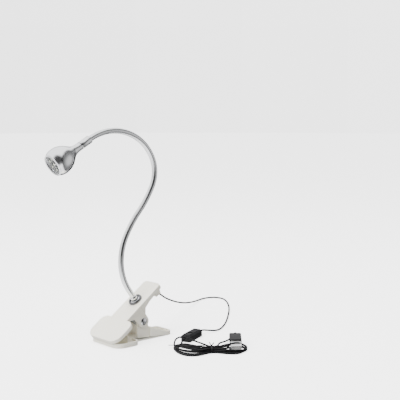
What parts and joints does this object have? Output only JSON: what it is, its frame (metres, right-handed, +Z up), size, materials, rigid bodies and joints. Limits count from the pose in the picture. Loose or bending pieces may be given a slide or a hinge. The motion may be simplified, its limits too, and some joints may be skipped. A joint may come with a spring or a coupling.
{
  "type": "clip-on reading lamp",
  "caption": "Clip-on gooseneck reading lamp: sprung two-lever clip, flexible neck, round LED head, and a USB lead with an inline push switch, in a hank.",
  "frame": {"origin": "on the lower lever's underside, straight below the clip's pivot, on the surface the lamp stands on", "axes": "+Z up, -X towards the clip's jaws, +X towards its handles, +Y across the clip, away from the rivet's head"},
  "size_m": [0.3338, 0.2346, 0.2449],
  "materials": {
    "ivory_plastic": "satin moulded plastic, warm white",
    "clear_rubber": "soft translucent rubber",
    "black_rubber": "matt rubber",
    "chrome": "bright chrome plate",
    "spring_steel": "drawn spring wire",
    "zinc_steel": "zinc plated",
    "silver_shell": "polished silver",
    "lens": "clear cap",
    "reflector": "dark gloss",
    "led_dome": "clear domes over phosphor",
    "circuit_board": "lacquered board",
    "cast_sink": "as machined",
    "cord_black": "smooth black jacket",
    "black_plastic": "black moulded plastic",
    "tie_black": "flat plastic tie over wire",
    "nickel_shell": "nickel plated",
    "gold_contact": "gold flash"
  },
  "bodies": {
    "root": {"upper_lever": "ivory_plastic", "upper_jaw_pad": "clear_rubber", "pivot_rivet": "chrome", "rivet_cap": "chrome", "torsion_spring": "spring_steel", "cord_grommet": "black_rubber", "room_lead": "cord_black", "wire_cover": "ivory_plastic", "cover_screws": "zinc_steel", "neck_foot": "chrome", "neck_lead_foot": "cord_black", "foot_ring": "chrome", "foot_ferrule": "chrome", "foot_stud": "zinc_steel", "foot_washer": "zinc_steel", "foot_nut": "zinc_steel", "cord_lead": "cord_black", "cord_tail": "cord_black", "cord_end": "cord_black", "switch_base": "black_plastic", "switch_cover": "black_plastic", "switch_board": "circuit_board", "switch_boots": "black_rubber", "switch_screws": "zinc_steel", "cord_hank": "cord_black", "hank_tie": "tie_black", "plug_overmould": "black_plastic", "plug_shell": "nickel_shell", "plug_tongue": "black_plastic", "plug_contacts": "gold_contact"},
    "clip_lower": {"lower_lever": "ivory_plastic", "lower_jaw_pad": "clear_rubber", "spring_tail": "spring_steel"},
    "neck_1": {"neck_link_1": "chrome", "neck_lead_link_1": "cord_black"},
    "neck_2": {"neck_link_2": "chrome", "neck_lead_link_2": "cord_black"},
    "neck_3": {"neck_link_3": "chrome", "neck_lead_link_3": "cord_black"},
    "neck_4": {"neck_link_4": "chrome", "neck_lead_link_4": "cord_black"},
    "neck_5": {"neck_link_5": "chrome", "neck_lead_link_5": "cord_black"},
    "neck_6": {"neck_link_6": "chrome", "neck_lead_link_6": "cord_black"},
    "neck_7": {"neck_link_7": "chrome", "neck_lead_link_7": "cord_black"},
    "head": {"neck_tip": "chrome", "neck_lead_tip": "cord_black", "head_shell": "silver_shell", "head_collar": "silver_shell", "lens_ring": "silver_shell", "lens": "lens", "led_reflector": "reflector", "led_lamps": "led_dome", "led_board": "circuit_board", "heat_sink": "cast_sink", "head_leads": "cord_black"},
    "switch_cap": {"switch_button": "black_plastic"}
  },
  "joints": [
    {"name": "clip_hinge", "type": "hinge", "parent": "root", "child": "clip_lower", "pos_m": [0, 0, 0.0222], "axis": [0, -1, 0], "range_deg": [0, 42], "stiffness_Nm_per_rad": 0.4, "springref_deg": -63.03},
    {"name": "neck_bend_1", "type": "hinge", "parent": "root", "child": "neck_1", "pos_m": [-0.01007, 0, 0.05779], "axis": [0, -1, 0], "range_deg": [-28, 28]},
    {"name": "neck_bend_2", "type": "hinge", "parent": "neck_1", "child": "neck_2", "pos_m": [-0.02101, 0, 0.08895], "axis": [-0.999, 0, -0.0454], "range_deg": [-26, 26]},
    {"name": "neck_bend_3", "type": "hinge", "parent": "neck_2", "child": "neck_3", "pos_m": [-0.01376, 0, 0.12125], "axis": [0, -1, 0], "range_deg": [-28, 28]},
    {"name": "neck_bend_4", "type": "hinge", "parent": "neck_3", "child": "neck_4", "pos_m": [0.00547, 0, 0.14857], "axis": [-0.7385, 0, 0.6743], "range_deg": [-26, 26]},
    {"name": "neck_bend_5", "type": "hinge", "parent": "neck_4", "child": "neck_5", "pos_m": [0.02446, 0, 0.17604], "axis": [0, -1, 0], "range_deg": [-28, 28]},
    {"name": "neck_bend_6", "type": "hinge", "parent": "neck_5", "child": "neck_6", "pos_m": [0.02525, 0, 0.20844], "axis": [-0.9128, 0, -0.4083], "range_deg": [-26, 26]},
    {"name": "neck_bend_7", "type": "hinge", "parent": "neck_6", "child": "neck_7", "pos_m": [0.00316, 0, 0.23289], "axis": [0, -1, 0], "range_deg": [-28, 28]},
    {"name": "neck_bend_8", "type": "hinge", "parent": "neck_7", "child": "head", "pos_m": [-0.02879, 0, 0.24169], "axis": [-0.0157, 0, -0.9999], "range_deg": [-26, 26]},
    {"name": "switch_press", "type": "slide", "parent": "root", "child": "switch_cap", "axis": [0, 0, -1], "range_m": [0, 0.001], "stiffness_N_per_m": 300}
  ]
}
